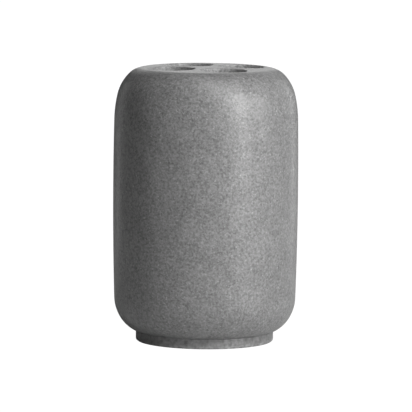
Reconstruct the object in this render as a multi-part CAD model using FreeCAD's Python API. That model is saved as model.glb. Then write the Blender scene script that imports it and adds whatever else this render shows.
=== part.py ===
import FreeCAD, Part

import math
import os

# A countertop toothbrush holder in fine grey stone.
# A hollow, slightly barrel-shaped shell with four brush holes stands on a round foot.
# The foot plugs into the shell's open bottom, where a silicone ring seals it, and stands on four pads.
# Millimetres, +Z up. The origin is on the axis, level with the undersides of the pads.

# Outside of the shell, with heights measured from its joint with the foot
body_radius = 37.5
body_height = 106.8
widest_height = 57.7
bow_radius = 1475.0
shoulder_height = 21.0
shoulder_slope_degrees = 45.6
heel_height = 13.6
heel_slope_degrees = 21.9
crown_height = 0.25
rim_radius = 8.2

# Brush holes in the top disc
hole_count = 4
hole_radius = 9.35
hole_web = 3.4
hole_edge_land = 0.2
hole_rim_radius = 0.55
hole_turn_degrees = 45.0

# Inside of the shell
wall_thickness = 5.5
top_thickness = 6.0
ceiling_corner_radius = 9.0
floor_corner_radius = 6.0
lip_height = 8.0
seat_land = 3.7
neck_chamfer = 0.5

# Foot, with the spigot that plugs into the shell's neck
foot_radius = 28.0
foot_height = 4.1
foot_edge_radius = 0.8
seam_edge_radius = 0.35
spigot_height = 7.0
spigot_clearance = 0.25
spigot_chamfer = 0.6
spigot_wall = 4.4
dish_floor_thickness = 3.7
dish_corner_radius = 3.0

# Silicone seal ring in its groove round the spigot
seal_thickness = 1.8
seal_height = 2.3
seal_groove_play = 0.15
seal_groove_height = 2.2
seal_clearance = 0.06
seal_seat_gap = 0.02

# Silicone pads in their pockets under the foot
pad_count = 4
pad_radius = 4.0
pad_proud = 0.4
pad_pocket_depth = 1.2
pad_play = 0.15
pad_edge_land = 3.5
pad_edge_radius = 0.25

# How far a cutting shape runs past the face that it opens
overrun = 4.0

# How near an edge must lie to a circle to count as lying on it
match_distance = 0.02

# Sizes that follow from the ones above
hole_circle_radius = (2 * hole_radius + hole_web) / (2 * math.sin(math.pi / hole_count))
top_disc_radius = hole_circle_radius + hole_radius + hole_rim_radius + hole_edge_land
crown_slope_degrees = 2 * math.degrees(math.atan(crown_height / top_disc_radius))
neck_radius = foot_radius - seat_land
spigot_radius = neck_radius - spigot_clearance
seal_outer_radius = neck_radius - seal_clearance
seal_inner_radius = seal_outer_radius - seal_thickness
groove_radius = seal_inner_radius - seal_seat_gap
dish_radius = spigot_radius - spigot_wall
pad_circle_radius = foot_radius - pad_edge_land - pad_radius

# Heights above the surface that the holder stands on
foot_bottom = pad_proud
joint_level = foot_bottom + foot_height
rim_level = joint_level + body_height
ceiling_level = rim_level - top_thickness
lip_level = joint_level + lip_height
spigot_top = joint_level + spigot_height
dish_floor = foot_bottom + dish_floor_thickness
pocket_ceiling = foot_bottom + pad_pocket_depth

UP = FreeCAD.Vector(0, 0, 1)
OUTWARD = FreeCAD.Vector(1, 0, 0)
ORIGIN = FreeCAD.Vector(0, 0, 0)


def at(radius, height):
    """Point in the profile plane."""
    return FreeCAD.Vector(radius, 0, height)


def line(start, end):
    """Straight edge."""
    return Part.LineSegment(start, end).toShape()


def arc_by_corner(start, corner, end):
    """Arc that is tangent to both legs of a corner, which are equally long."""
    middle = (start + end) * 0.5
    cosine = (end - start).Length / (2 * (corner - start).Length)
    crest = middle + (corner - middle) * (cosine / (1 + cosine))
    return Part.Arc(start, crest, end).toShape()


def arc_from(start, direction, end):
    """Arc that leaves the start in a unit direction and passes through the end."""
    chord = end - start
    leg = chord.dot(chord) / (2 * chord.dot(direction))
    return arc_by_corner(start, start + direction * leg, end)


def two_arcs(start, start_direction, end, end_direction):
    """Two arcs with equal legs that join two points smoothly, each leaving its point in its own direction."""
    chord = end - start
    turn = 1 - start_direction.dot(end_direction)
    lean = chord.dot(start_direction + end_direction)
    leg = (math.sqrt(lean ** 2 + 2 * turn * chord.dot(chord)) - lean) / (2 * turn)
    first_corner = start + start_direction * leg
    last_corner = end - end_direction * leg
    meeting = (first_corner + last_corner) * 0.5
    return [arc_by_corner(start, first_corner, meeting), arc_by_corner(meeting, last_corner, end)]


def slope(degrees, side):
    """Unit direction down at an angle below level, away from the axis for side 1 and towards it for -1."""
    angle = math.radians(degrees)
    return at(side * math.cos(angle), -math.sin(angle))


def turned(edges):
    """Solid made by turning a closed profile about the Z axis."""
    face = Part.Face(Part.Wire(edges))
    return face.revolve(ORIGIN, UP, 360)


def cylinder(radius, low, high):
    """Upright cylinder on the axis between two heights."""
    return Part.makeCylinder(radius, high - low, at(0, low), UP)


def around(count, radius, turn_degrees):
    """Points evenly spaced on a circle about the axis."""
    places = []
    for index in range(count):
        angle = math.radians(turn_degrees) + 2 * math.pi * index / count
        places.append(FreeCAD.Vector(radius * math.cos(angle), radius * math.sin(angle), 0))
    return places


def circle_edges(shape, radius, height):
    """Edges of a shape that lie on the circle of that radius about the axis, at that height."""
    found = []
    for edge in shape.Edges:
        middle = edge.valueAt((edge.FirstParameter + edge.LastParameter) / 2)
        off_radius = abs(math.hypot(middle.x, middle.y) - radius)
        off_height = abs(middle.z - height)
        if off_radius < match_distance and off_height < match_distance:
            found.append(edge)
    return found


def rounded(shape, edge_radius, radius, height):
    """Shape with the circular edge of that radius and height rounded."""
    return shape.makeFillet(edge_radius, circle_edges(shape, radius, height))


def chamfered(shape, size, radius, height):
    """Shape with the circular edge of that radius and height chamfered."""
    return shape.makeChamfer(size, circle_edges(shape, radius, height))


def bowed_radius(level):
    """Outer radius of the shell's bowed side at a height."""
    rise = level - joint_level - widest_height
    return body_radius - bow_radius + math.sqrt(bow_radius ** 2 - rise ** 2)


def bowed_descent(level):
    """Unit direction in which the shell's bowed side runs down at a height."""
    rise = level - joint_level - widest_height
    return at(rise, -math.sqrt(bow_radius ** 2 - rise ** 2)) * (1 / bow_radius)


def rim_end(rim):
    """Point where the rim's arc, which carries on from the crown, has turned to the shoulder's slope."""
    half_turn = math.radians(shoulder_slope_degrees - crown_slope_degrees) / 2
    chord_degrees = (shoulder_slope_degrees + crown_slope_degrees) / 2
    return rim + slope(chord_degrees, 1) * (2 * rim_radius * math.sin(half_turn))


def shell_outside():
    """Solid within the shell's outer surface."""
    shoulder_level = rim_level - shoulder_height
    heel_level = joint_level + heel_height
    middle_level = (shoulder_level + heel_level) / 2
    crown = at(0, rim_level + crown_height)
    rim = at(top_disc_radius, rim_level)
    shoulder = at(bowed_radius(shoulder_level), shoulder_level)
    middle = at(bowed_radius(middle_level), middle_level)
    heel = at(bowed_radius(heel_level), heel_level)
    foot = at(foot_radius, joint_level)
    edges = [arc_from(crown, OUTWARD, rim)]
    edges.append(arc_from(rim, slope(crown_slope_degrees, 1), rim_end(rim)))
    edges += two_arcs(rim_end(rim), slope(shoulder_slope_degrees, 1), shoulder, bowed_descent(shoulder_level))
    edges.append(Part.Arc(shoulder, middle, heel).toShape())
    edges += two_arcs(heel, bowed_descent(heel_level), foot, slope(heel_slope_degrees, -1))
    edges.append(line(foot, at(0, joint_level)))
    edges.append(line(at(0, joint_level), crown))
    return rounded(turned(edges), seam_edge_radius, foot_radius, joint_level)


def shell_cavity():
    """Hollow of the shell above its neck, with rounded corners."""
    low_side = lip_level + floor_corner_radius
    high_side = ceiling_level - ceiling_corner_radius
    middle_side = (low_side + high_side) / 2
    low = at(bowed_radius(low_side) - wall_thickness, low_side)
    middle = at(bowed_radius(middle_side) - wall_thickness, middle_side)
    high = at(bowed_radius(high_side) - wall_thickness, high_side)
    floor_corner = at(low.x, lip_level)
    ceiling_corner = at(high.x, ceiling_level)
    floor_end = floor_corner - OUTWARD * floor_corner_radius
    ceiling_end = ceiling_corner - OUTWARD * ceiling_corner_radius
    edges = [line(at(0, lip_level), floor_end)]
    edges.append(arc_by_corner(floor_end, floor_corner, low))
    edges.append(Part.Arc(low, middle, high).toShape())
    edges.append(arc_by_corner(high, ceiling_corner, ceiling_end))
    edges.append(line(ceiling_end, at(0, ceiling_level)))
    edges.append(line(at(0, ceiling_level), at(0, lip_level)))
    return turned(edges)


def hole_rims(shape, place):
    """Upper rim edges of the brush hole at a place."""
    found = []
    for edge in shape.Edges:
        middle = edge.valueAt((edge.FirstParameter + edge.LastParameter) / 2)
        off_radius = abs(math.hypot(middle.x - place.x, middle.y - place.y) - hole_radius)
        is_upright = abs(edge.BoundBox.ZLength) > top_thickness / 2
        if off_radius < match_distance and middle.z > (ceiling_level + rim_level) / 2 and not is_upright:
            found.append(edge)
    return found


def body_shell():
    """Hollow shell with its brush holes on top and its neck below."""
    shell = shell_outside().cut(shell_cavity())
    shell = shell.cut(cylinder(neck_radius, joint_level - overrun, lip_level + overrun))
    shell = chamfered(shell, neck_chamfer, neck_radius, joint_level)
    for place in around(hole_count, hole_circle_radius, hole_turn_degrees):
        hole = cylinder(hole_radius, ceiling_level - overrun, rim_level + overrun)
        hole.translate(place)
        shell = shell.cut(hole)
        shell = shell.makeFillet(hole_rim_radius, hole_rims(shell, place))
    return shell


def seal_groove():
    """Ring cut round the spigot that holds the seal."""
    low = joint_level + seal_groove_height - seal_groove_play
    high = joint_level + seal_groove_height + seal_height + seal_groove_play
    ring = cylinder(neck_radius + overrun, low, high)
    return ring.cut(cylinder(groove_radius, low, high))


def foot_base():
    """Foot disc with its spigot, seal groove, drip dish and pad pockets."""
    foot = cylinder(foot_radius, foot_bottom, joint_level)
    foot = rounded(foot, foot_edge_radius, foot_radius, foot_bottom)
    foot = rounded(foot, seam_edge_radius, foot_radius, joint_level)
    foot = foot.fuse(cylinder(spigot_radius, joint_level, spigot_top)).removeSplitter()
    foot = chamfered(foot, spigot_chamfer, spigot_radius, spigot_top)
    dish = cylinder(dish_radius, dish_floor, spigot_top + overrun)
    dish = rounded(dish, dish_corner_radius, dish_radius, dish_floor)
    foot = foot.cut(dish)
    foot = chamfered(foot, spigot_chamfer, dish_radius, spigot_top)
    foot = foot.cut(seal_groove())
    for place in around(pad_count, pad_circle_radius, hole_turn_degrees):
        pocket = cylinder(pad_radius + pad_play, foot_bottom - overrun, pocket_ceiling)
        pocket.translate(place)
        foot = foot.cut(pocket)
    return foot


def seal_ring():
    """Silicone ring with flat sides and round ends, as it lies pressed in its groove."""
    bend = seal_thickness / 2
    low = joint_level + seal_groove_height + bend
    high = joint_level + seal_groove_height + seal_height - bend
    middle_radius = seal_inner_radius + bend
    edges = [line(at(seal_outer_radius, low), at(seal_outer_radius, high))]
    edges.append(Part.Arc(at(seal_outer_radius, high), at(middle_radius, high + bend),
                          at(seal_inner_radius, high)).toShape())
    edges.append(line(at(seal_inner_radius, high), at(seal_inner_radius, low)))
    edges.append(Part.Arc(at(seal_inner_radius, low), at(middle_radius, low - bend),
                          at(seal_outer_radius, low)).toShape())
    return turned(edges)


def foot_pad(place):
    """Round silicone pad in its pocket under the foot."""
    pad = cylinder(pad_radius, 0, pocket_ceiling)
    pad = rounded(pad, pad_edge_radius, pad_radius, 0)
    pad.translate(place)
    return pad


def main():
    """Write one file for each piece."""
    os.makedirs("parts", exist_ok=True)
    pieces = {"body_shell": body_shell(), "foot_base": foot_base(), "seal_ring": seal_ring()}
    for index, place in enumerate(around(pad_count, pad_circle_radius, hole_turn_degrees)):
        pieces["foot_pad_" + str(index + 1)] = foot_pad(place)
    for name, shape in pieces.items():
        shape.exportStep("parts/" + name + ".step")
        print(name, "solids", len(shape.Solids), "valid", shape.isValid(), "volume", round(shape.Volume, 1))


main()
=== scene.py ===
import logging
import math
from dataclasses import dataclass
from enum import Enum

import bpy
from mathutils import Matrix, Vector


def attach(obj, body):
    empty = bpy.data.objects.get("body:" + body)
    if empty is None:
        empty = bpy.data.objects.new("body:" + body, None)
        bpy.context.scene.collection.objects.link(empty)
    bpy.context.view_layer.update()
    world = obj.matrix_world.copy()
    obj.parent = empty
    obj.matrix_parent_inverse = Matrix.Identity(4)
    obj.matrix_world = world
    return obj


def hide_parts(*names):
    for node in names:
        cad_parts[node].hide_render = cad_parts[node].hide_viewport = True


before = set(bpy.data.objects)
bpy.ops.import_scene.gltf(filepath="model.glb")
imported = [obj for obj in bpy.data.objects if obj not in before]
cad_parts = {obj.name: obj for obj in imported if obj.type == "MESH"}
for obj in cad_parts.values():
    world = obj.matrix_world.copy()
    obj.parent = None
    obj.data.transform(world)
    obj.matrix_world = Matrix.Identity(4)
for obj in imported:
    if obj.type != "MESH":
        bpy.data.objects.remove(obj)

# A countertop toothbrush holder in fine grey stone: a hollow, slightly barrel-shaped shell with four
# brush holes, on a round foot that plugs into it, with a silicone seal ring and four silicone pads.
# Sizes are in millimetres in the classes below and in metres in the scene.

MM = 0.001
MERGE_DISTANCE = 0.002 * MM
CREASE_DEGREES = 40.0
DIAGONAL_DEGREES = 45.0
LOG = logging.getLogger("toothbrush_holder")

Piece = bpy.types.Object
Socket = bpy.types.NodeSocket
Tree = bpy.types.NodeTree
Point = Vector | tuple[float, float]
Rgba = tuple[float, float, float, float]
Value = Socket | float | Rgba


class Slot(Enum):
    """Finish slots of the record."""

    BODY_STONE = "body_stone"
    FOOT_STONE = "foot_stone"
    SEAL_SILICONE = "seal_silicone"
    PAD_SILICONE = "pad_silicone"


class Body(Enum):
    """Bodies that pieces ride on."""

    BASE = "base"
    SHELL = "shell"


def deselect_all() -> None:
    """Leave object mode with nothing selected."""
    if bpy.context.object is not None and bpy.context.object.mode != "OBJECT":
        bpy.ops.object.mode_set(mode="OBJECT")
    bpy.ops.object.select_all(action="DESELECT")


def select_only(piece: Piece) -> None:
    """Select one object and make it active.

    Args:
        piece: The object to work on next.
    """
    deselect_all()
    piece.select_set(True)
    bpy.context.view_layer.objects.active = piece


def edit_whole(piece: Piece) -> None:
    """Enter edit mode with the whole mesh of a piece selected.

    Args:
        piece: The object to edit.
    """
    select_only(piece)
    bpy.ops.object.mode_set(mode="EDIT")
    bpy.ops.mesh.select_all(action="SELECT")


def merge_doubles() -> None:
    """Merge the points of the mesh in edit mode that all but coincide."""
    bpy.ops.mesh.select_all(action="SELECT")
    bpy.ops.mesh.remove_doubles(threshold=MERGE_DISTANCE)


def apply_modifier(piece: Piece, modifier: bpy.types.Modifier) -> None:
    """Turn one modifier of a piece into mesh."""
    select_only(piece)
    bpy.ops.object.modifier_apply(modifier=modifier.name)


def smooth(piece: Piece) -> None:
    """Shade a piece smooth, apart from its sharp edges."""
    select_only(piece)
    bpy.ops.object.shade_smooth_by_angle(angle=math.radians(CREASE_DEGREES))


class Profile:
    """Half-section of a turned piece: a chain of points (radius, height) in millimetres."""

    def __init__(self, radius: float, height: float, step: float = math.inf) -> None:
        """Start the chain.

        Args:
            radius: Radius of the first point.
            height: Height of the first point.
            step: Usual distance between points along an arc.
        """
        self.points = [Vector((radius, height))]
        self.step = step

    @property
    def end(self) -> Vector:
        """Last point so far."""
        return self.points[-1]

    def line_to(self, radius: float, height: float, step: float = math.inf) -> None:
        """Draw a straight run.

        Args:
            radius: Radius of its end.
            height: Height of its end.
            step: Largest distance between points along it.
        """
        start = self.end
        finish = Vector((radius, height))
        count = max(1, math.ceil((finish - start).length / step))
        for index in range(1, count + 1):
            self.points.append(start.lerp(finish, index / count))

    def arc_to(self, corner: Point, finish: Point, least: int = 4) -> None:
        """Draw an arc that touches both legs of a corner, which are equally long.

        Args:
            corner: Where the legs meet.
            finish: End of the arc.
            least: Smallest number of pieces that it is drawn in.
        """
        start = self.end
        corner = Vector(corner)
        finish = Vector(finish)
        weight = (finish - start).length / (2 * (corner - start).length)
        count = max(least, math.ceil((finish - start).length / self.step))
        for index in range(1, count + 1):
            share = index / count
            near = (1 - share) ** 2
            middle = 2 * weight * share * (1 - share)
            far = share ** 2
            point = (start * near + corner * middle + finish * far) / (near + middle + far)
            self.points.append(point)

    def arc_from(self, direction: Vector, finish: Vector) -> None:
        """Draw an arc that leaves the end of the chain in a unit direction.

        Args:
            direction: Direction in which the arc starts.
            finish: End of the arc.
        """
        chord = finish - self.end
        leg = chord.length_squared / (2 * chord.dot(direction))
        self.arc_to(self.end + direction * leg, finish)

    def join(self, direction: Vector, finish: Vector, finish_direction: Vector) -> None:
        """Draw two arcs that run smoothly from one direction to another.

        Args:
            direction: Unit direction in which the first arc starts.
            finish: End of the second arc.
            finish_direction: Unit direction in which the second arc ends.
        """
        chord = finish - self.end
        turn = 1 - direction.dot(finish_direction)
        lean = chord.dot(direction + finish_direction)
        leg = (math.sqrt(lean ** 2 + 2 * turn * chord.length_squared) - lean) / (2 * turn)
        first = self.end + direction * leg
        last = finish - finish_direction * leg
        meeting = (first + last) / 2
        self.arc_to(first, meeting)
        self.arc_to(last, finish)


def downward(angle: float) -> Vector:
    """Unit direction away from the axis and down from level by an angle in radians."""
    return Vector((math.cos(angle), -math.sin(angle)))


def turned(name: str, points: list[Vector], steps: int) -> Piece:
    """Turn a half-section about the Z axis.

    Args:
        name: Name of the new piece.
        points: Half-section as (radius, height) in millimetres. It ends on the axis at both ends, or
            where it began.
        steps: Number of faces round the piece.

    Returns:
        The closed piece, in place and with its faces pointing outwards.
    """
    deselect_all()
    bpy.ops.mesh.primitive_plane_add(size=MM, location=(0, 0, 0))
    piece = bpy.context.object
    piece.name = name
    piece.data.name = name
    edit_whole(piece)
    bpy.ops.mesh.merge(type="CENTER")
    bpy.ops.transform.translate(value=(points[0].x * MM, 0, points[0].y * MM))
    for start, finish in zip(points, points[1:]):
        step = (finish - start) * MM
        bpy.ops.mesh.extrude_vertices_move(TRANSFORM_OT_translate={"value": (step.x, 0, step.y)})
    merge_doubles()
    bpy.ops.mesh.spin(steps=steps, angle=2 * math.pi, center=(0, 0, 0), axis=(0, 0, 1))
    merge_doubles()
    bpy.ops.mesh.normals_make_consistent(inside=False)
    bpy.ops.object.mode_set(mode="OBJECT")
    return piece


def cut(piece: Piece, cutters: list[Piece]) -> None:
    """Cut closed shapes out of a piece and delete them.

    Args:
        piece: The closed piece to cut.
        cutters: Two or more closed shapes that don't meet each other.
    """
    select_only(cutters[0])
    for cutter in cutters[1:]:
        cutter.select_set(True)
    bpy.ops.object.join()
    tool = bpy.context.object
    modifier = piece.modifiers.new("Cut", "BOOLEAN")
    modifier.operation = "DIFFERENCE"
    modifier.solver = "EXACT"
    modifier.object = tool
    apply_modifier(piece, modifier)
    select_only(tool)
    bpy.ops.object.delete()
    edit_whole(piece)
    merge_doubles()
    bpy.ops.object.mode_set(mode="OBJECT")


def copied(piece: Piece, name: str) -> Piece:
    """Copy a piece together with its mesh.

    Args:
        piece: The object to copy.
        name: Name of the copy.

    Returns:
        The copy.
    """
    select_only(piece)
    bpy.ops.object.duplicate()
    copy = bpy.context.object
    copy.name = name
    copy.data.name = name
    return copy


def moved(piece: Piece, x: float, y: float) -> Piece:
    """Move the mesh of a piece sideways, with its object left at the origin.

    Args:
        piece: The object to move.
        x: Distance along X in millimetres.
        y: Distance along Y in millimetres.

    Returns:
        The same object.
    """
    edit_whole(piece)
    bpy.ops.transform.translate(value=(x * MM, y * MM, 0))
    bpy.ops.object.mode_set(mode="OBJECT")
    return piece


def around(count: int, radius: float) -> list[tuple[float, float]]:
    """Points (x, y) evenly spaced on a circle about the axis, the first halfway between X and Y."""
    angles = [math.radians(DIAGONAL_DEGREES + 360 * index / count) for index in range(count)]
    return [(radius * math.cos(angle), radius * math.sin(angle)) for angle in angles]


@dataclass(frozen=True)
class Relief:
    """Unevenness of a cast or rubbed stone face, always cut into the face, in millimetres."""

    patch_size: float
    depth: float
    set_in: float

    def press_into(self, piece: Piece, indices: list[int]) -> None:
        """Displace chosen vertices of a piece inwards.

        Args:
            piece: The object to roughen.
            indices: Numbers of the vertices that move.
        """
        group = piece.vertex_groups.new(name="uneven")
        group.add(indices, 1.0, "REPLACE")
        texture = bpy.data.textures.new("Unevenness", "CLOUDS")
        texture.noise_scale = self.patch_size * MM
        modifier = piece.modifiers.new("Unevenness", "DISPLACE")
        modifier.texture = texture
        modifier.texture_coords = "LOCAL"
        modifier.direction = "NORMAL"
        modifier.mid_level = 1.0 + self.set_in / self.depth
        modifier.strength = self.depth * MM
        modifier.vertex_group = group.name
        apply_modifier(piece, modifier)
        piece.vertex_groups.clear()


def grey(level: float) -> Rgba:
    """Opaque grey of one level in linear light."""
    return (level, level, level, 1.0)


WHITE = grey(1.0)


class Graph:
    """Node tree with short calls to add nodes and join them."""

    def __init__(self, tree: Tree) -> None:
        """Work on the node tree of a material, a world or a node group."""
        self.tree = tree

    def add(self, kind: str, inputs: dict | None = None, **settings: object) -> bpy.types.Node:
        """Add a node.

        Args:
            kind: Type of the node.
            inputs: Values or outputs for its inputs, by name or number.
            **settings: Properties of the node.

        Returns:
            The new node.
        """
        node = self.tree.nodes.new(kind)
        for name, value in settings.items():
            setattr(node, name, value)
        for key, value in (inputs or {}).items():
            if isinstance(value, Socket):
                self.link(value, node.inputs[key])
            else:
                node.inputs[key].default_value = value
        return node

    def link(self, output: Socket, target: Socket) -> None:
        """Join an output to an input."""
        self.tree.links.new(output, target)

    def math(self, operation: str, *values: Value) -> Socket:
        """Work with numbers, each a value or an output."""
        return self.add("ShaderNodeMath", dict(enumerate(values)), operation=operation).outputs[0]

    def swing(self, value: Socket, amount: Value) -> Socket:
        """Turn an output between 0 and 1 into a rise and fall about zero, by an amount."""
        return self.math("MULTIPLY", self.math("SUBTRACT", value, 0.5), amount)

    def scaled(self, place: Socket, size: Socket) -> Socket:
        """Divide a vector by a size."""
        inputs = {0: place, "Scale": self.math("DIVIDE", 1.0, size)}
        return self.add("ShaderNodeVectorMath", inputs, operation="SCALE").outputs[0]

    def distance(self, along: Socket, across: Socket) -> Socket:
        """Length of a flat vector with two given parts."""
        flat = self.add("ShaderNodeCombineXYZ", {0: along, 1: across}).outputs[0]
        return self.add("ShaderNodeVectorMath", {0: flat}, operation="LENGTH").outputs["Value"]

    def noise(self, place: Socket, scale: float, detail: float, roughness: float = 0.5) -> Socket:
        """Add a soft noise between 0 and 1, with so many waves to a unit of place."""
        inputs = {"Vector": place, "Scale": scale, "Detail": detail, "Roughness": roughness}
        return self.add("ShaderNodeTexNoise", inputs).outputs[0]

    def ramp(self, value: Socket, low: Value, high: Value, to_low: float, to_high: float) -> Socket:
        """Map an output from low and high to to_low and to_high, along a smooth step held at both ends."""
        inputs = {"Value": value, "From Min": low, "From Max": high, "To Min": to_low, "To Max": to_high}
        return self.add("ShaderNodeMapRange", inputs, interpolation_type="SMOOTHSTEP").outputs["Result"]

    def blend(self, share: Value, first: Value, second: Value, mode: str = "MIX") -> Socket:
        """Lay a share of a second colour over a first one."""
        inputs = {0: share, 6: first, 7: second}
        return self.add("ShaderNodeMix", inputs, data_type="RGBA", blend_type=mode).outputs[2]

    def tint(self, share: Value, colour: Value, factor: Value) -> Socket:
        """Multiply a share of a colour by another one."""
        return self.blend(share, colour, factor, "MULTIPLY")

    def bumped(self, height: Socket, depth: float) -> Socket:
        """Turn a height into a normal, with a depth in millimetres."""
        inputs = {"Height": height, "Strength": 1.0, "Distance": depth * MM}
        return self.add("ShaderNodeBump", inputs).outputs["Normal"]


def new_group(name: str, inputs: dict, outputs: dict) -> tuple[Graph, dict, dict]:
    """Start a shader node group.

    Args:
        name: Name of the group.
        inputs: Its inputs, as name to (socket type, default value or None).
        outputs: Its outputs, as name to socket type.

    Returns:
        Its graph, its inputs as sockets by name, and the sockets to join its outputs to.
    """
    tree = bpy.data.node_groups.new(name, "ShaderNodeTree")
    for label, (kind, value) in inputs.items():
        socket = tree.interface.new_socket(label, in_out="INPUT", socket_type=kind)
        if value is not None:
            socket.default_value = value
    for label, kind in outputs.items():
        tree.interface.new_socket(label, in_out="OUTPUT", socket_type=kind)
    graph = Graph(tree)
    taken = graph.add("NodeGroupInput").outputs
    given = graph.add("NodeGroupOutput").inputs
    return graph, {label: taken[label] for label in inputs}, {label: given[label] for label in outputs}


def new_material(name: str) -> tuple[bpy.types.Material, Graph]:
    """Start a material.

    Args:
        name: Name of the material.

    Returns:
        The material and its empty graph.
    """
    made = bpy.data.materials.new(name)
    made.use_nodes = True
    made.node_tree.nodes.clear()
    return made, Graph(made.node_tree)


FLOAT = "NodeSocketFloat"
VECTOR = "NodeSocketVector"
COLOUR = "NodeSocketColor"
SURFACE = {"Color": COLOUR, "Height": FLOAT, "Roughness": FLOAT}


def stone_grain_group() -> Tree:
    """Build the node group for the crystals, mottling and specks of a fine-grained stone.

    Returns:
        The group.
    """
    clouds_per_grain, crystals_per_grain, flecks_per_grain = 0.8, 1.3, 0.85
    fleck_core, fleck_edge = 0.15, 0.45
    dark_from, darkest = 0.88, 0.5
    bright_from, bright_full = 0.8, 0.96
    pit_depth, crystal_height = 0.25, 0.25
    polish_spread = 0.12
    inputs = {
        "Vector": (VECTOR, None),
        "Tone": (COLOUR, grey(0.2)),
        "Grain Size": (FLOAT, 0.001),
        "Grain": (FLOAT, 0.5),
        "Crystals": (FLOAT, 0.2),
        "Patch Size": (FLOAT, 0.01),
        "Patches": (FLOAT, 0.1),
        "Specks": (FLOAT, 0.3),
        "Dullness": (FLOAT, 0.5),
    }
    graph, taken, given = new_group("Stone grain", inputs, SURFACE)
    fine = graph.scaled(taken["Vector"], taken["Grain Size"])
    wide = graph.scaled(taken["Vector"], taken["Patch Size"])
    cloud = graph.noise(fine, clouds_per_grain, detail=2.0, roughness=0.55)
    patch = graph.noise(wide, scale=1.0, detail=3.0, roughness=0.6)
    cells = graph.add("ShaderNodeTexVoronoi", {"Vector": fine, "Scale": crystals_per_grain})
    crystal = graph.add("ShaderNodeSeparateColor", {0: cells.outputs["Color"]}).outputs
    flecks = graph.add("ShaderNodeTexVoronoi", {"Vector": fine, "Scale": flecks_per_grain})
    fleck = graph.add("ShaderNodeSeparateColor", {0: flecks.outputs["Color"]}).outputs
    spot = graph.ramp(flecks.outputs["Distance"], fleck_core, fleck_edge, 1.0, 0.0)
    dark = graph.math("MULTIPLY", spot, graph.ramp(fleck[0], dark_from, 1.0, 0.0, darkest))
    bright = graph.math("MULTIPLY", spot, graph.ramp(fleck[1], bright_from, bright_full, 0.0, 1.0))
    speck = graph.math("MULTIPLY", graph.math("SUBTRACT", bright, dark), taken["Specks"])
    grain = graph.swing(cloud, taken["Grain"])
    facet = graph.swing(crystal[0], taken["Crystals"])
    mottle = graph.swing(patch, taken["Patches"])
    tone = graph.math("ADD", graph.math("ADD", grain, facet), graph.math("ADD", mottle, speck))
    level = graph.math("ADD", 1.0, tone)
    shade = graph.add("ShaderNodeCombineColor", {0: level, 1: level, 2: level}).outputs[0]
    raised = graph.math("SUBTRACT", cloud, graph.math("MULTIPLY", dark, pit_depth))
    height = graph.math("ADD", raised, graph.math("MULTIPLY", crystal[1], crystal_height))
    polish = graph.math("MULTIPLY", tone, polish_spread)
    graph.link(graph.tint(1.0, taken["Tone"], shade), given["Color"])
    graph.link(height, given["Height"])
    graph.link(graph.math("ADD", taken["Dullness"], polish), given["Roughness"])
    return graph.tree


def painted_ring_shading_group() -> Tree:
    """Build the node group for the mask of painted shade and painted light along a circular edge about the
    axis.

    Returns:
        The group.
    """
    blotches_per_metre = 420.0
    gap_from, gap_full = 0.35, 0.65
    inputs = {
        "Vector": (VECTOR, None),
        "Radius": (FLOAT, 0.02),
        "Height": (FLOAT, 0.1),
        "Reach": (FLOAT, 0.001),
        "Breakup": (FLOAT, 0.5),
    }
    graph, taken, given = new_group("Painted ring shading", inputs, {"Mask": FLOAT})
    parts = graph.add("ShaderNodeSeparateXYZ", {0: taken["Vector"]}).outputs
    off_radius = graph.math("SUBTRACT", graph.distance(parts[0], parts[1]), taken["Radius"])
    off_height = graph.math("SUBTRACT", parts[2], taken["Height"])
    near = graph.ramp(graph.distance(off_radius, off_height), 0.0, taken["Reach"], 1.0, 0.0)
    noise = graph.noise(taken["Vector"], blotches_per_metre, detail=2.0)
    gaps = graph.ramp(noise, gap_from, gap_full, 0.0, 1.0)
    kept = graph.math("SUBTRACT", 1.0, graph.math("MULTIPLY", gaps, taken["Breakup"]))
    graph.link(graph.math("MULTIPLY", near, kept), given["Mask"])
    return graph.tree


def moulded_skin_group() -> Tree:
    """Build the node group for the matte skin and the dust of a moulded silicone piece.

    Returns:
        The group.
    """
    pores_per_metre, clouds_per_metre = 5200.0, 260.0
    dust_from, dust_full = 0.4, 0.7
    dust_tone, dust_dullness, skin_dullness = 0.5, 0.4, 0.08
    inputs = {
        "Vector": (VECTOR, None),
        "Tone": (COLOUR, grey(0.3)),
        "Dust": (FLOAT, 0.1),
        "Dullness": (FLOAT, 0.5),
    }
    graph, taken, given = new_group("Moulded skin", inputs, SURFACE)
    skin = graph.noise(taken["Vector"], pores_per_metre, detail=2.0)
    cloud = graph.noise(taken["Vector"], clouds_per_metre, detail=3.0)
    dusty = graph.math("MULTIPLY", graph.ramp(cloud, dust_from, dust_full, 0.0, 1.0), taken["Dust"])
    dulled = graph.math("ADD", taken["Dullness"], graph.math("MULTIPLY", dusty, dust_dullness))
    rough = graph.math("ADD", dulled, graph.math("MULTIPLY", skin, skin_dullness))
    graph.link(graph.blend(dusty, taken["Tone"], grey(dust_tone)), given["Color"])
    graph.link(skin, given["Height"])
    graph.link(rough, given["Roughness"])
    return graph.tree


@dataclass(frozen=True)
class PaintedRingShading:
    """Painted shade along a circular edge when its tone is below 1, painted light when above, with lengths
    in millimetres.
    """

    radius: float
    height: float
    reach: float
    breakup: float
    strength: float
    tone: float

    def lay_over(self, graph: Graph, group: Tree, place: Socket, colour: Socket) -> Socket:
        """Lay this ring of painted shading over a colour.

        Args:
            graph: Graph of the material.
            group: The group for the mask of painted shading along circular edges.
            place: Object coordinates.
            colour: Colour so far.

        Returns:
            The colour with the painted shading.
        """
        values = {
            "Vector": place,
            "Radius": self.radius * MM,
            "Height": self.height * MM,
            "Reach": self.reach * MM,
            "Breakup": self.breakup,
        }
        mask = graph.add("ShaderNodeGroup", values, node_tree=group).outputs["Mask"]
        return graph.tint(graph.math("MULTIPLY", mask, self.strength), colour, grey(self.tone))


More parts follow.
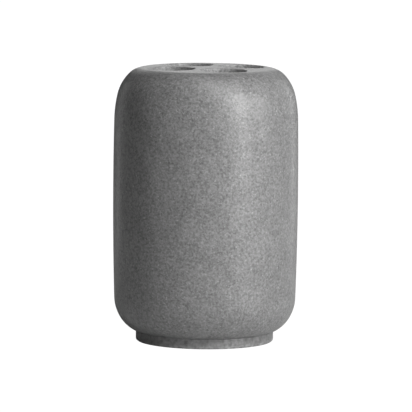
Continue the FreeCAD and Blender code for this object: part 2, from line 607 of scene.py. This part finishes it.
@dataclass(frozen=True)
class PaintedHoleLight:
    """Painted light on the walls of the brush holes: a paler colour standing in for light that reaches
    into them, with lengths in millimetres.
    """

    hole_offset: float
    hole_radius: float
    lowest: float
    fade: float
    tone: float

    def lay_over(self, graph: Graph, place: Socket, colour: Socket) -> Socket:
        """Paint light onto the walls of the brush holes.

        Args:
            graph: Graph of the material.
            place: Object coordinates, which are folded so that the four holes' axes fall on one.
            colour: Colour so far.

        Returns:
            The colour with painted light on the hole walls.
        """
        folded = graph.add("ShaderNodeVectorMath", {0: place}, operation="ABSOLUTE").outputs[0]
        parts = graph.add("ShaderNodeSeparateXYZ", {0: folded}).outputs
        along = graph.math("SUBTRACT", parts[0], self.hole_offset * MM)
        across = graph.math("SUBTRACT", parts[1], self.hole_offset * MM)
        outer = (self.hole_radius + self.fade) * MM
        inside = graph.ramp(graph.distance(along, across), self.hole_radius * MM, outer, 1.0, 0.0)
        high = graph.ramp(parts[2], (self.lowest - self.fade) * MM, self.lowest * MM, 0.0, 1.0)
        return graph.tint(graph.math("MULTIPLY", inside, high), colour, grey(self.tone))


@dataclass(frozen=True)
class Stone:
    """Finish of a honed grey stone, with lengths in millimetres."""

    slot: Slot
    tone: float
    grain_size: float
    grain: float
    crystals: float
    patch_size: float
    patches: float
    specks: float
    bump: float
    dullness: float
    reflection: float
    sealer: float
    sealer_dullness: float
    painted_shading: tuple[PaintedRingShading, ...]
    hole_light: PaintedHoleLight | None = None

    def material(self, grain: Tree, mark: Tree) -> bpy.types.Material:
        """Build the material.

        Args:
            grain: The stone grain group.
            mark: The group for the mask of painted shading along circular edges.

        Returns:
            The material.
        """
        made, graph = new_material(f"{self.slot.value}_finish")
        place = graph.add("ShaderNodeTexCoord").outputs["Object"]
        values = {
            "Vector": place,
            "Tone": grey(self.tone),
            "Grain Size": self.grain_size * MM,
            "Grain": self.grain,
            "Crystals": self.crystals,
            "Patch Size": self.patch_size * MM,
            "Patches": self.patches,
            "Specks": self.specks,
            "Dullness": self.dullness,
        }
        texture = graph.add("ShaderNodeGroup", values, node_tree=grain).outputs
        colour = texture["Color"]
        # Painted shade and painted light along circular edges, then painted light on the hole walls
        for ring in self.painted_shading:
            colour = ring.lay_over(graph, mark, place, colour)
        if self.hole_light is not None:
            colour = self.hole_light.lay_over(graph, place, colour)
        shader = graph.add("ShaderNodeBsdfPrincipled", {
            "Base Color": colour,
            "Roughness": texture["Roughness"],
            "Normal": graph.bumped(texture["Height"], self.bump),
            "Specular IOR Level": self.reflection,
            "Coat Weight": self.sealer,
            "Coat Roughness": self.sealer_dullness,
        })
        graph.add("ShaderNodeOutputMaterial", {"Surface": shader.outputs[0]})
        return made


@dataclass(frozen=True)
class Silicone:
    """Finish of a moulded silicone piece, with lengths in millimetres."""

    slot: Slot
    tone: float
    dust: float
    dullness: float
    see_through: float
    see_through_depth: float = 0.5
    bump: float = 0.02

    def material(self, skin: Tree) -> bpy.types.Material:
        """Build the material.

        Args:
            skin: The moulded skin group.

        Returns:
            The material.
        """
        made, graph = new_material(f"{self.slot.value}_finish")
        values = {
            "Vector": graph.add("ShaderNodeTexCoord").outputs["Object"],
            "Tone": grey(self.tone),
            "Dust": self.dust,
            "Dullness": self.dullness,
        }
        texture = graph.add("ShaderNodeGroup", values, node_tree=skin).outputs
        shader = graph.add("ShaderNodeBsdfPrincipled", {
            "Base Color": texture["Color"],
            "Roughness": texture["Roughness"],
            "Normal": graph.bumped(texture["Height"], self.bump),
            "Subsurface Weight": self.see_through,
            "Subsurface Scale": self.see_through_depth * MM,
        })
        graph.add("ShaderNodeOutputMaterial", {"Surface": shader.outputs[0]})
        return made


def dress(piece: Piece, material: bpy.types.Material, node: str, body: Body) -> None:
    """Give a finished piece its material and its place in the model.

    Args:
        piece: The finished object.
        material: Its material.
        node: Name of the plain piece that it stands for.
        body: Body that it rides on.
    """
    piece.data.materials.clear()
    piece.data.materials.append(material)
    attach(piece, body.value)
    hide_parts(node)
    LOG.info("%s: %d faces", piece.name, len(piece.data.polygons))


@dataclass(frozen=True)
class Seam:
    """Joint between the shell and the foot, in millimetres."""

    radius: float = 28.0
    level: float = 4.5
    edge_radius: float = 0.35
    neck_radius: float = 24.3


SEAM = Seam()


@dataclass
class Shell:
    """Hollow shell with its four brush holes and its neck, in millimetres."""

    body_radius: float = 37.5
    body_height: float = 106.8
    widest_height: float = 57.7
    bow_radius: float = 1475.0
    shoulder_height: float = 21.0
    shoulder_slope: float = 45.6
    heel_height: float = 13.6
    heel_slope: float = 21.9
    crown_height: float = 0.25
    rim_radius: float = 8.2
    hole_count: int = 4
    hole_radius: float = 9.35
    hole_web: float = 3.4
    hole_edge_land: float = 0.2
    hole_rim_radius: float = 0.55
    hole_rim_turn: float = 84.0
    hole_rim_pieces: int = 8
    overrun_below: float = 4.0
    overrun_above: float = 2.0
    neck_chamfer: float = 0.5
    wall: float = 5.5
    top: float = 6.0
    lip_level: float = 12.5
    floor_corner: float = 6.0
    ceiling_corner: float = 9.0
    shoulder_step: float = 0.9
    side_step: float = 1.1
    heel_step: float = 0.8
    neck_step: float = 2.0
    corner_step: float = 1.2
    hollow_step: float = 2.5
    even_rim_band: float = 1.0
    even_seam_band: float = 1.5
    steps: int = 288
    cutter_steps: int = 144

    @property
    def hole_circle_radius(self) -> float:
        """Radius of the circle through the holes' axes, with a web of stone between neighbours."""
        return (2 * self.hole_radius + self.hole_web) / (2 * math.sin(math.pi / self.hole_count))

    @property
    def disc_radius(self) -> float:
        """Radius of the top disc, with a land of stone outside the holes' rims."""
        return self.hole_circle_radius + self.hole_radius + self.hole_rim_radius + self.hole_edge_land

    @property
    def rim_level(self) -> float:
        """Height of the top disc's edge."""
        return SEAM.level + self.body_height

    @property
    def ceiling_level(self) -> float:
        """Height of the hollow's ceiling."""
        return self.rim_level - self.top

    @property
    def crown_radius(self) -> float:
        """Radius of the shallow dome of the top disc."""
        return (self.disc_radius ** 2 + self.crown_height ** 2) / (2 * self.crown_height)

    def crown_level(self, radius: float) -> float:
        """Height of the top disc at a radius."""
        drop = self.crown_radius - math.sqrt(self.crown_radius ** 2 - radius ** 2)
        return self.rim_level + self.crown_height - drop

    def side_radius(self, level: float) -> float:
        """Outer radius of the bowed side at a height."""
        rise = level - SEAM.level - self.widest_height
        return self.body_radius - self.bow_radius + math.sqrt(self.bow_radius ** 2 - rise ** 2)

    def side_descent(self, level: float) -> Vector:
        """Unit direction in which the bowed side runs down at a height."""
        rise = level - SEAM.level - self.widest_height
        return Vector((rise, -math.sqrt(self.bow_radius ** 2 - rise ** 2))) / self.bow_radius

    def half_section(self) -> list[Vector]:
        """Draw the wall from the middle of the top, down the outside and back up the inside.

        Returns:
            The chain of points.
        """
        shoulder_level = self.rim_level - self.shoulder_height
        heel_level = SEAM.level + self.heel_height
        shoulder_down = math.radians(self.shoulder_slope)
        heel_down = math.radians(self.heel_slope)
        crown_down = 2 * math.atan(self.crown_height / self.disc_radius)
        slope_in = Vector((-math.cos(heel_down), -math.sin(heel_down)))
        rim = Vector((self.disc_radius, self.rim_level))
        rim_chord = 2 * self.rim_radius * math.sin((shoulder_down - crown_down) / 2)
        rim_end = rim + downward((shoulder_down + crown_down) / 2) * rim_chord
        shape = Profile(0.0, self.rim_level + self.crown_height, self.shoulder_step)
        shape.arc_from(Vector((1.0, 0.0)), rim)
        shape.arc_from(downward(crown_down), rim_end)
        shoulder = Vector((self.side_radius(shoulder_level), shoulder_level))
        shape.join(downward(shoulder_down), shoulder, self.side_descent(shoulder_level))
        heel = Vector((self.side_radius(heel_level), heel_level))
        shape.step = self.side_step
        shape.arc_from(self.side_descent(shoulder_level), heel)
        seam = Vector((SEAM.radius, SEAM.level))
        bend = SEAM.edge_radius * math.tan(heel_down / 2)
        shape.step = self.heel_step
        shape.join(self.side_descent(heel_level), seam - slope_in * bend, slope_in)
        shape.arc_to(seam, seam + Vector((-bend, 0.0)))
        shape.line_to(SEAM.neck_radius + self.neck_chamfer, SEAM.level)
        shape.line_to(SEAM.neck_radius, SEAM.level + self.neck_chamfer)
        shape.line_to(SEAM.neck_radius, self.lip_level, self.neck_step)
        self.draw_inside(shape)
        return shape.points

    def draw_inside(self, shape: Profile) -> None:
        """Draw the hollow from the lip to the middle of the ceiling.

        Args:
            shape: Chain that ends at the top of the neck.
        """
        low_side = self.lip_level + self.floor_corner
        high_side = self.ceiling_level - self.ceiling_corner
        low = Vector((self.side_radius(low_side) - self.wall, low_side))
        high = Vector((self.side_radius(high_side) - self.wall, high_side))
        shape.line_to(low.x - self.floor_corner, self.lip_level, self.neck_step)
        shape.step = self.corner_step
        shape.arc_to((low.x, self.lip_level), low)
        shape.step = self.hollow_step
        shape.arc_from(-self.side_descent(low_side), high)
        shape.step = self.corner_step
        shape.arc_to((high.x, self.ceiling_level), (high.x - self.ceiling_corner, self.ceiling_level))
        shape.line_to(0.0, self.ceiling_level, self.hollow_step)

    def hole_cutter(self, x: float, y: float) -> Piece:
        """Shape the air of one brush hole, with its rounded rim.

        Args:
            x: Place of the hole's axis along X.
            y: Place of the hole's axis along Y.

        Returns:
            The closed cutter.
        """
        low = -self.top - self.overrun_below
        rim = self.hole_rim_radius
        shape = Profile(0.0, low)
        shape.line_to(self.hole_radius, low)
        shape.line_to(self.hole_radius, -rim)
        centre = Vector((self.hole_radius + rim, -rim))
        for index in range(1, self.hole_rim_pieces + 1):
            angle = math.radians(self.hole_rim_turn) * index / self.hole_rim_pieces
            shape.points.append(centre + rim * Vector((-math.cos(angle), math.sin(angle))))
        shape.line_to(shape.end.x, self.overrun_above)
        shape.line_to(0.0, self.overrun_above)
        cutter = moved(turned("hole_air", shape.points, self.cutter_steps), x, y)
        for vertex in cutter.data.vertices:
            is_bottom = vertex.co.z < low * MM + MERGE_DISTANCE
            radius = math.hypot(vertex.co.x, vertex.co.y) / MM
            vertex.co.z += (self.rim_level if is_bottom else self.crown_level(radius)) * MM
        return cutter

    def build(self, material: bpy.types.Material) -> None:
        """Model the shell.

        Args:
            material: Its stone.
        """
        piece = turned("stone_shell", self.half_section(), self.steps)
        outside = [vertex.index for vertex in piece.data.vertices if self.is_outside(vertex)]
        Relief(patch_size=5.0, depth=0.04, set_in=0.01).press_into(piece, outside)
        places = around(self.hole_count, self.hole_circle_radius)
        cut(piece, [self.hole_cutter(x, y) for x, y in places])
        smooth(piece)
        dress(piece, material, "body_shell", Body.SHELL)

    def is_outside(self, vertex: bpy.types.MeshVertex) -> bool:
        """Whether a vertex lies on the outer face, clear of the seam and of the top disc.

        Args:
            vertex: Vertex of the shell.

        Returns:
            True on the face that the unevenness is pressed into.
        """
        place = vertex.co / MM
        faces_out = vertex.normal.xy.dot(place.xy) > 0.0
        is_beside_disc = place.xy.length > self.disc_radius + self.even_rim_band
        return faces_out and is_beside_disc and place.z > SEAM.level + self.even_seam_band


@dataclass
class SealRing:
    """Silicone ring with flat sides and round ends, in millimetres."""

    outer_radius: float = 24.24
    thickness: float = 1.8
    low: float = 6.7
    high: float = 9.0
    side_step: float = 0.25
    end_pieces: int = 7
    steps: int = 192

    @property
    def inner_radius(self) -> float:
        """Radius of the ring's bore."""
        return self.outer_radius - self.thickness

    def build(self, material: bpy.types.Material) -> None:
        """Model the ring.

        Args:
            material: Its silicone.
        """
        bend = self.thickness / 2
        middle = self.outer_radius - bend
        low_bend = self.low + bend
        high_bend = self.high - bend
        shape = Profile(self.outer_radius, low_bend)
        shape.line_to(self.outer_radius, high_bend, self.side_step)
        shape.arc_to((self.outer_radius, self.high), (middle, self.high), self.end_pieces)
        shape.arc_to((self.inner_radius, self.high), (self.inner_radius, high_bend), self.end_pieces)
        shape.line_to(self.inner_radius, low_bend, self.side_step)
        shape.arc_to((self.inner_radius, self.low), (middle, self.low), self.end_pieces)
        shape.arc_to((self.outer_radius, self.low), (self.outer_radius, low_bend), self.end_pieces)
        piece = turned("silicone_seal", shape.points, self.steps)
        smooth(piece)
        dress(piece, material, "seal_ring", Body.BASE)


@dataclass
class Pads:
    """Four silicone pads under the foot, in millimetres."""

    count: int = 4
    radius: float = 4.0
    top: float = 1.6
    edge_radius: float = 0.25
    circle_radius: float = 20.5
    sole_step: float = 0.8
    side_step: float = 0.5
    top_step: float = 1.2
    edge_pieces: int = 5
    steps: int = 96

    @property
    def places(self) -> list[tuple[float, float]]:
        """Centres of the pads."""
        return around(self.count, self.circle_radius)

    def build(self, material: bpy.types.Material) -> None:
        """Model one pad and copy it.

        Args:
            material: Their silicone.
        """
        shape = Profile(0.0, 0.0)
        shape.line_to(self.radius - self.edge_radius, 0.0, self.sole_step)
        shape.arc_to((self.radius, 0.0), (self.radius, self.edge_radius), self.edge_pieces)
        shape.line_to(self.radius, self.top, self.side_step)
        shape.line_to(0.0, self.top, self.top_step)
        first = turned("silicone_pad_1", shape.points, self.steps)
        pads = [first] + [copied(first, f"silicone_pad_{index}") for index in range(2, self.count + 1)]
        for index, (x, y) in enumerate(self.places):
            pad = moved(pads[index], x, y)
            smooth(pad)
            dress(pad, material, f"foot_pad_{index + 1}", Body.BASE)


@dataclass
class Foot:
    """Foot disc with its spigot, seal groove, drip dish and pad pockets, in millimetres."""

    ring: SealRing
    pads: Pads
    bottom: float = 0.4
    edge_radius: float = 0.8
    spigot_clearance: float = 0.25
    spigot_top: float = 11.5
    spigot_wall: float = 4.4
    chamfer: float = 0.6
    groove_gap: float = 0.02
    groove_play: float = 0.15
    dish_floor: float = 4.1
    dish_corner: float = 3.0
    pocket_play: float = 0.15
    overrun: float = 2.0
    flat_step: float = 1.5
    side_step: float = 0.45
    round_pieces: int = 8
    seam_edge_pieces: int = 5
    rough_edge_share: float = 0.7
    even_seam_band: float = 0.2
    steps: int = 288
    pocket_steps: int = 72

    def half_section(self) -> list[Vector]:
        """Draw the foot from the middle of the underside, up the outside and into the dish.

        Returns:
            The chain of points.
        """
        low_edge = (SEAM.radius, self.bottom)
        seam_edge = (SEAM.radius, SEAM.level)
        shape = Profile(0.0, self.bottom)
        shape.line_to(SEAM.radius - self.edge_radius, self.bottom, self.flat_step)
        shape.arc_to(low_edge, (SEAM.radius, self.bottom + self.edge_radius), self.round_pieces)
        shape.line_to(SEAM.radius, SEAM.level - SEAM.edge_radius, self.side_step)
        shape.arc_to(seam_edge, (SEAM.radius - SEAM.edge_radius, SEAM.level), self.seam_edge_pieces)
        self.draw_spigot(shape)
        return shape.points

    def draw_spigot(self, shape: Profile) -> None:
        """Draw the spigot with its groove and the dish inside it.

        Args:
            shape: Chain that ends on the top of the foot.
        """
        spigot_radius = SEAM.neck_radius - self.spigot_clearance
        groove_radius = self.ring.inner_radius - self.groove_gap
        groove_low = self.ring.low - self.groove_play
        groove_high = self.ring.high + self.groove_play
        dish_radius = spigot_radius - self.spigot_wall
        chamfer_level = self.spigot_top - self.chamfer
        shape.line_to(spigot_radius, SEAM.level)
        shape.line_to(spigot_radius, groove_low)
        shape.line_to(groove_radius, groove_low)
        shape.line_to(groove_radius, groove_high)
        shape.line_to(spigot_radius, groove_high)
        shape.line_to(spigot_radius, chamfer_level)
        shape.line_to(spigot_radius - self.chamfer, self.spigot_top)
        shape.line_to(dish_radius + self.chamfer, self.spigot_top)
        shape.line_to(dish_radius, chamfer_level)
        shape.line_to(dish_radius, self.dish_floor + self.dish_corner, self.flat_step)
        dish_end = (dish_radius - self.dish_corner, self.dish_floor)
        shape.arc_to((dish_radius, self.dish_floor), dish_end, self.round_pieces)
        shape.line_to(0.0, self.dish_floor, self.flat_step)

    def pocket_cutter(self, x: float, y: float) -> Piece:
        """Shape the air of one pad pocket.

        Args:
            x: Place of the pocket along X.
            y: Place of the pocket along Y.

        Returns:
            The closed cutter.
        """
        radius = self.pads.radius + self.pocket_play
        low = self.bottom - self.overrun
        shape = Profile(0.0, low)
        shape.line_to(radius, low)
        shape.line_to(radius, self.pads.top)
        shape.line_to(0.0, self.pads.top)
        return moved(turned("pocket_air", shape.points, self.pocket_steps), x, y)

    def build(self, material: bpy.types.Material) -> None:
        """Model the foot.

        Args:
            material: Its stone.
        """
        piece = turned("stone_foot", self.half_section(), self.steps)
        rough = [vertex.index for vertex in piece.data.vertices if self.is_rough(vertex.co / MM)]
        Relief(patch_size=1.6, depth=0.16, set_in=0.01).press_into(piece, rough)
        cut(piece, [self.pocket_cutter(x, y) for x, y in self.pads.places])
        smooth(piece)
        dress(piece, material, "foot_base", Body.BASE)

    def is_rough(self, place: Vector) -> bool:
        """Whether a point in millimetres lies on the coarse outer side."""
        is_far_out = place.xy.length > SEAM.radius - self.rough_edge_share * self.edge_radius
        return is_far_out and place.z < SEAM.level - self.even_seam_band


@dataclass(frozen=True)
class Softbox:
    """Soft rectangular light, in metres, with its angles in degrees right of and above the camera."""

    name: str
    azimuth: float
    elevation: float
    distance: float
    width: float
    height: float
    power: float


@dataclass
class Studio:
    """Floor, lights, surroundings and camera. Lengths are in metres, angles in degrees."""

    softboxes: tuple[Softbox, ...]
    camera_azimuth: float = 19.2
    camera_elevation: float = 6.38
    camera_roll: float = 0.479
    camera_distance: float = 1.744
    lens: float = 375.9
    sensor_width: float = 36.0
    nearest_seen: float = 0.05
    farthest_seen: float = 50.0
    aim_height: float = 0.05575
    aim_right: float = 0.000213
    aim_down: float = 0.00063
    floor_size: float = 6.0
    floor_drop: float = 0.0001
    floor_tone: float = 0.75
    backdrop_glow: float = 1.05
    fill: float = 0.06

    def direction(self, azimuth: float, elevation: float) -> Vector:
        """Unit direction from the holder.

        Args:
            azimuth: Angle to the right of the camera, seen from above.
            elevation: Angle above level.

        Returns:
            The direction.
        """
        turn = math.radians(self.camera_azimuth + azimuth)
        rise = math.radians(elevation)
        return Vector((math.sin(turn) * math.cos(rise), -math.cos(turn) * math.cos(rise), math.sin(rise)))

    def facing(self, direction: Vector) -> Matrix:
        """Turn that makes an object's -Z axis point against a direction, with its Y axis up."""
        return direction.to_track_quat("Z", "Y").to_matrix().to_4x4()

    def place_camera(self) -> None:
        """Add the camera at the photograph's viewing angle."""
        middle = Vector((0.0, 0.0, self.aim_height))
        towards = self.direction(0.0, self.camera_elevation)
        turn = self.facing(towards).to_3x3()
        right = turn @ Vector((1.0, 0.0, 0.0))
        up = turn @ Vector((0.0, 1.0, 0.0))
        place = middle + towards * self.camera_distance
        target = middle + right * self.aim_right - up * self.aim_down
        deselect_all()
        bpy.ops.object.camera_add(location=place)
        camera = bpy.context.object
        camera.name = "camera"
        camera.data.lens = self.lens
        camera.data.sensor_width = self.sensor_width
        camera.data.sensor_fit = "HORIZONTAL"
        camera.data.clip_start = self.nearest_seen
        camera.data.clip_end = self.farthest_seen
        roll = Matrix.Rotation(math.radians(self.camera_roll), 4, "Z")
        camera.matrix_world = Matrix.Translation(place) @ self.facing((place - target).normalized()) @ roll
        bpy.context.scene.camera = camera

    def place_floor(self) -> None:
        """Add the plain pale floor, which looks white and lights the holder softly from below."""
        deselect_all()
        bpy.ops.mesh.primitive_plane_add(size=self.floor_size, location=(0, 0, -self.floor_drop))
        floor = bpy.context.object
        floor.name = "floor"
        made, graph = new_material("floor_white")
        paint = graph.add("ShaderNodeBsdfDiffuse", {"Color": grey(self.floor_tone)})
        glow = graph.add("ShaderNodeEmission", {"Color": WHITE, "Strength": self.backdrop_glow})
        ray = graph.add("ShaderNodeLightPath").outputs["Is Camera Ray"]
        seen = graph.add("ShaderNodeMixShader", {0: ray, 1: paint.outputs[0], 2: glow.outputs[0]})
        graph.add("ShaderNodeOutputMaterial", {"Surface": seen.outputs[0]})
        floor.data.materials.append(made)

    def light_world(self) -> None:
        """Make the surroundings white to the camera and a faint even fill to the holder."""
        world = bpy.data.worlds.new("studio")
        bpy.context.scene.world = world
        world.use_nodes = True
        world.node_tree.nodes.clear()
        graph = Graph(world.node_tree)
        ray = graph.add("ShaderNodeLightPath").outputs["Is Camera Ray"]
        faint = graph.add("ShaderNodeBackground", {"Color": WHITE, "Strength": self.fill})
        white = graph.add("ShaderNodeBackground", {"Color": WHITE, "Strength": self.backdrop_glow})
        seen = graph.add("ShaderNodeMixShader", {0: ray, 1: faint.outputs[0], 2: white.outputs[0]})
        graph.add("ShaderNodeOutputWorld", {"Surface": seen.outputs[0]})

    def place_softbox(self, box: Softbox) -> None:
        """Add one light.

        Args:
            box: The light's place, size and power.
        """
        away = self.direction(box.azimuth, box.elevation)
        deselect_all()
        bpy.ops.object.light_add(type="AREA")
        light = bpy.context.object
        light.name = box.name
        light.data.shape = "RECTANGLE"
        light.data.size = box.width
        light.data.size_y = box.height
        light.data.energy = box.power
        place = Vector((0.0, 0.0, self.aim_height)) + away * box.distance
        light.matrix_world = Matrix.Translation(place) @ self.facing(away)
        light.visible_camera = False

    def build(self) -> None:
        """Set up the whole studio."""
        self.place_camera()
        self.place_floor()
        self.light_world()
        for box in self.softboxes:
            self.place_softbox(box)
        bpy.context.scene.view_settings.view_transform = "Standard"
        bpy.context.scene.view_settings.look = "None"
        LOG.info("studio: %d lights", len(self.softboxes))


BODY_STONE = Stone(
    slot=Slot.BODY_STONE,
    tone=0.22,
    grain_size=0.8,
    grain=1.07,
    crystals=0.45,
    patch_size=8.0,
    patches=0.45,
    specks=0.6,
    bump=0.15,
    dullness=0.37,
    reflection=0.5,
    sealer=0.12,
    sealer_dullness=0.26,
    painted_shading=(
        # Painted shade: a soft darker band along the crease between shell and foot, then a narrow painted
        # light along the seam edge
        PaintedRingShading(SEAM.radius, SEAM.level, reach=1.8, breakup=0.4, strength=0.5, tone=0.8),
        PaintedRingShading(SEAM.radius, SEAM.level, reach=0.8, breakup=0.3, strength=0.7, tone=1.6),
    ),
    # Painted light: the hole walls are lightened to stand in for light reaching into the holes
    hole_light=PaintedHoleLight(hole_offset=11.05, hole_radius=9.37, lowest=105.3, fade=0.5, tone=1.4),
)

FOOT_STONE = Stone(
    slot=Slot.FOOT_STONE,
    tone=0.2,
    grain_size=1.5,
    grain=1.3,
    crystals=0.3,
    patch_size=4.0,
    patches=0.45,
    specks=0.5,
    bump=0.2,
    dullness=0.37,
    reflection=0.5,
    sealer=0.0,
    sealer_dullness=0.3,
    painted_shading=(
        # Painted light along the foot's lower edge, standing in for light from the floor
        PaintedRingShading(SEAM.radius, height=0.6, reach=1.4, breakup=0.6, strength=0.7, tone=1.7),
        # Painted shade: a soft darker band along the crease at the seam, then a narrow painted light along
        # the seam edge
        PaintedRingShading(SEAM.radius, SEAM.level, reach=2.2, breakup=0.4, strength=0.5, tone=0.65),
        PaintedRingShading(SEAM.radius, SEAM.level, reach=0.8, breakup=0.3, strength=0.6, tone=1.5),
    ),
)

SEAL_SILICONE = Silicone(slot=Slot.SEAL_SILICONE, tone=0.45, dust=0.1, dullness=0.42, see_through=0.15)
PAD_SILICONE = Silicone(slot=Slot.PAD_SILICONE, tone=0.08, dust=0.25, dullness=0.55, see_through=0.0)

# Name, azimuth, elevation, distance, width, height and power in watts of each light
SOFTBOXES = (
    Softbox("near_key", 34.0, 30.0, 0.6, 0.3, 0.3, 1.25),
    Softbox("near_top", 20.0, 60.0, 0.35, 0.12, 0.14, 0.26),
    Softbox("key", 47.0, 30.0, 1.3, 0.15, 0.6, 4.0),
    Softbox("side", 47.0, 5.0, 1.3, 0.15, 0.6, 6.5),
    Softbox("far_side", 75.0, 15.0, 1.3, 0.15, 0.6, 2.8),
    Softbox("back", 180.0, 12.0, 1.3, 0.3, 0.3, 0.4),
    Softbox("back_wide", 180.0, 24.0, 1.3, 0.9, 0.3, 0.55),
    Softbox("rim_right", 134.0, 5.0, 0.3, 0.03, 0.26, 0.075),
    Softbox("rim_left", -134.0, 5.0, 0.3, 0.03, 0.26, 0.035),
)


def main() -> None:
    """Build every piece and the studio."""
    logging.basicConfig(level=logging.INFO, format="%(name)s: %(message)s")
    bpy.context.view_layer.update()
    grain = stone_grain_group()
    mark = painted_ring_shading_group()
    skin = moulded_skin_group()
    ring = SealRing()
    pads = Pads()
    Shell().build(BODY_STONE.material(grain, mark))
    Foot(ring, pads).build(FOOT_STONE.material(grain, mark))
    ring.build(SEAL_SILICONE.material(skin))
    pads.build(PAD_SILICONE.material(skin))
    Studio(SOFTBOXES).build()
    deselect_all()


if __name__ == "__main__":
    main()
